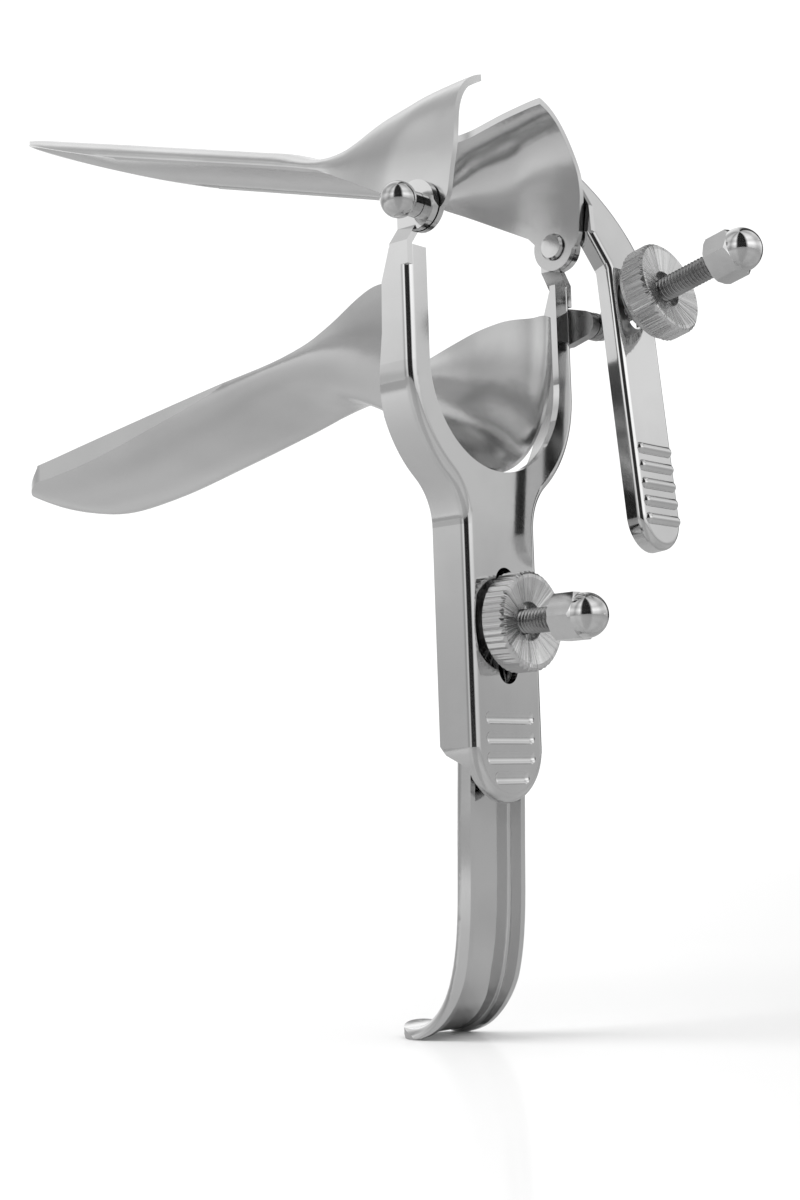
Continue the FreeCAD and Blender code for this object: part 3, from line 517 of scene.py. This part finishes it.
# Shades by height that the room's are multiplied with, from straight down at 0 to straight up at 1
STOREY_SHADES = [
    (0.0, 0.25),
    (0.3, 0.5),
    (0.4, 0.9),
    (0.45, 1.3),
    (0.475, 1.25),
    (0.505, 0.62),
    (0.53, 0.62),
    (0.56, 0.78),
    (0.6, 0.85),
    (0.64, 1.1),
    (0.68, 1.1),
    (0.77, 0.72),
    (0.87, 0.95),
    (1.0, 0.6),
]
# The floor's painted grey turns to painted white between these distances from the origin, metres
FLOOR_FADE = (0.3, 1.6)
# Share and roughness of the floor's gloss
FLOOR_GLOSS = 0.12


def plain_floor(studio, height):
    """Large level floor under the lowest point. Its painted grey near the object lets the soft shadow show
    and turns to a painted white towards the edge, which stands in for light, so no horizon is seen. The steel
    mirrors it in a painted grey, and a thin gloss gives a faint reflection of the foot."""
    half = studio.floor_half
    mesh = bpy.data.meshes.new("studio_floor")
    corners = [(-half, -half, height), (half, -half, height), (half, half, height), (-half, half, height)]
    mesh.from_pydata(corners, [], [(0, 1, 2, 3)])
    floor = bpy.data.objects.new("studio_floor", mesh)
    bpy.context.scene.collection.objects.link(floor)
    material, tree = new_material("White floor")
    where = add_node(tree, "ShaderNodeTexCoord").outputs["Object"]
    away = add_node(tree, "ShaderNodeVectorMath", {"operation": "LENGTH"}, _0=where).outputs["Value"]
    near, far = FLOOR_FADE
    spread = add_node(tree, "ShaderNodeMapRange", Value=away, From_Min=near, From_Max=far).outputs[0]
    white = add_node(
        tree, "ShaderNodeMix", {"data_type": "RGBA"}, Factor=spread, _6=studio.floor_near, _7=studio.floor_far
    ).outputs[2]
    # Painted shade: the steel mirrors the floor in a grey while the camera sees it white
    mirrored = add_node(tree, "ShaderNodeLightPath").outputs["Is Glossy Ray"]
    colour = add_node(
        tree, "ShaderNodeMix", {"data_type": "RGBA"}, Factor=mirrored, _6=white, _7=studio.floor_mirrored
    ).outputs[2]
    matt = add_node(tree, "ShaderNodeBsdfDiffuse", Color=colour)
    gloss = add_node(tree, "ShaderNodeBsdfGlossy", Color=linear("#ffffff"), Roughness=FLOOR_GLOSS)
    mixed = add_node(tree, "ShaderNodeMixShader", _0=FLOOR_GLOSS, _1=matt.outputs[0], _2=gloss.outputs[0])
    add_node(tree, "ShaderNodeOutputMaterial", Surface=mixed.outputs[0])
    mesh.materials.append(material)
    return floor


def soft_light(name, place, target, size, power):
    """Square area light aimed at a point; the steel mirrors the room instead of the lamp."""
    data = bpy.data.lights.new(name, "AREA")
    data.shape = "SQUARE"
    data.size = size
    data.energy = power
    lamp = bpy.data.objects.new(name, data)
    lamp.location = place
    lamp.rotation_euler = (Vector(target) - Vector(place)).to_track_quat("-Z", "Y").to_euler()
    lamp.visible_glossy = False
    bpy.context.scene.collection.objects.link(lamp)
    return lamp


def set_shades(ramp, stops):
    """Grey (position, shade) stops on a colour ramp, and the ramp's colour output."""
    elements = ramp.color_ramp.elements
    while len(elements) < len(stops):
        elements.new(0.5)
    for element, (position, shade) in zip(elements, stops):
        element.position = position
        element.color = (shade, shade, shade, 1)
    return ramp.outputs[0]


def studio_world(brightness):
    """White to the camera. To the steel it is a grey room whose shade changes with the bearing, in turns from
    -Y through +X, and with the height: bright panels at -X, at -Y and past +X, greys between them, and dark
    gaps at the viewer and at +X."""
    world = bpy.data.worlds.new("Studio")
    world.use_nodes = True
    tree = world.node_tree
    tree.nodes.clear()
    direction = add_node(tree, "ShaderNodeTexCoord").outputs["Generated"]
    parts = add_node(tree, "ShaderNodeSeparateXYZ", Vector=direction).outputs
    behind = add_node(tree, "ShaderNodeMath", {"operation": "MULTIPLY"}, _0=parts[1], _1=-1.0).outputs[0]
    bearing = add_node(tree, "ShaderNodeMath", {"operation": "ARCTAN2"}, _0=parts[0], _1=behind).outputs[0]
    around = add_node(tree, "ShaderNodeMapRange", Value=bearing, From_Min=-math.pi, From_Max=math.pi)
    level = add_node(tree, "ShaderNodeMapRange", Value=parts[2], From_Min=-1.0, From_Max=1.0)
    room = set_shades(add_node(tree, "ShaderNodeValToRGB", Fac=around.outputs[0]), ROOM_SHADES)
    storey = set_shades(add_node(tree, "ShaderNodeValToRGB", Fac=level.outputs[0]), STOREY_SHADES)
    product = {"data_type": "RGBA", "blend_type": "MULTIPLY"}
    mirrored = add_node(tree, "ShaderNodeMix", product, Factor=1.0, _6=room, _7=storey).outputs[2]
    glossy = add_node(tree, "ShaderNodeLightPath").outputs["Is Glossy Ray"]
    white = (brightness, brightness, brightness, 1.0)
    seen = add_node(tree, "ShaderNodeMix", {"data_type": "RGBA"}, Factor=glossy, _6=white, _7=mirrored)
    background = add_node(tree, "ShaderNodeBackground", Color=seen.outputs[2], Strength=1.0)
    add_node(tree, "ShaderNodeOutputWorld", Surface=background.outputs[0])
    return world


def studio_camera(studio, datum):
    """Camera turned by azimuth, elevation and roll, then moved by its offset from the height screw's axis."""
    turn, rise, roll = studio.azimuth, studio.elevation, studio.roll
    back = Vector((math.sin(turn) * math.cos(rise), -math.cos(turn) * math.cos(rise), math.sin(rise)))
    flat_right = Vector((math.cos(turn), math.sin(turn), 0))
    flat_up = back.cross(flat_right)
    right = flat_right * math.cos(roll) + flat_up * math.sin(roll)
    up = flat_up * math.cos(roll) - flat_right * math.sin(roll)
    place = (right * studio.offset[0] + up * studio.offset[1] + back * studio.offset[2]) * MM
    place.z -= datum * MM
    camera = bpy.data.objects.new("camera", bpy.data.cameras.new("camera"))
    camera.data.sensor_fit = "VERTICAL"
    camera.data.sensor_height = 36.0
    camera.data.sensor_width = 24.0
    camera.data.lens = studio.lens
    camera.data.clip_start = 0.01
    camera.matrix_world = Matrix.Translation(place) @ Matrix((right, up, back)).transposed().to_4x4()
    bpy.context.scene.collection.objects.link(camera)
    return camera


class SPECULUM_OT_studio(bpy.types.Operator):
    """Set the floor, the light, the background and the camera"""

    bl_idname = "speculum.studio"
    bl_label = "Set the studio"

    def execute(self, context):
        scene = context.scene
        studio = scene.speculum_studio
        low = float(CAD_BOX[0][2])
        floor = plain_floor(studio, low)
        target = (0.1, -0.1, low)
        key = soft_light("studio_key", studio.key_place, target, studio.key_size, studio.key_power)
        scene.world = studio_world(studio.backdrop)
        scene.camera = studio_camera(studio, scene.speculum_threads.datum)
        scene.view_settings.view_transform = "Standard"
        scene.render.resolution_x = 800
        scene.render.resolution_y = 1200
        return {"FINISHED"}


class SPECULUM_PT_panel(bpy.types.Panel):
    """Settings and operators of the speculum"""

    bl_label = "Speculum"
    bl_space_type = "VIEW_3D"
    bl_region_type = "UI"
    bl_category = "Speculum"

    def draw(self, context):
        scene = context.scene
        for group in (scene.speculum_threads, scene.speculum_steel, scene.speculum_studio):
            for name in group.__annotations__:
                self.layout.prop(group, name)
        for operator in OPERATORS:
            self.layout.operator(operator.bl_idname)


OPERATORS = (SPECULUM_OT_finish, SPECULUM_OT_screws, SPECULUM_OT_studio)
CLASSES = (SpeculumSteel, SpeculumThreads, SpeculumStudio) + OPERATORS + (SPECULUM_PT_panel,)


def register():
    for cls in CLASSES:
        bpy.utils.register_class(cls)
    bpy.types.Scene.speculum_steel = PointerProperty(type=SpeculumSteel)
    bpy.types.Scene.speculum_threads = PointerProperty(type=SpeculumThreads)
    bpy.types.Scene.speculum_studio = PointerProperty(type=SpeculumStudio)


def unregister():
    del bpy.types.Scene.speculum_studio
    del bpy.types.Scene.speculum_threads
    del bpy.types.Scene.speculum_steel
    for cls in reversed(CLASSES):
        bpy.utils.unregister_class(cls)


def main():
    """Builds everything in order."""
    register()
    bpy.ops.speculum.finish()
    bpy.ops.speculum.screws()
    bpy.ops.speculum.studio()


if __name__ == "__main__":
    main()
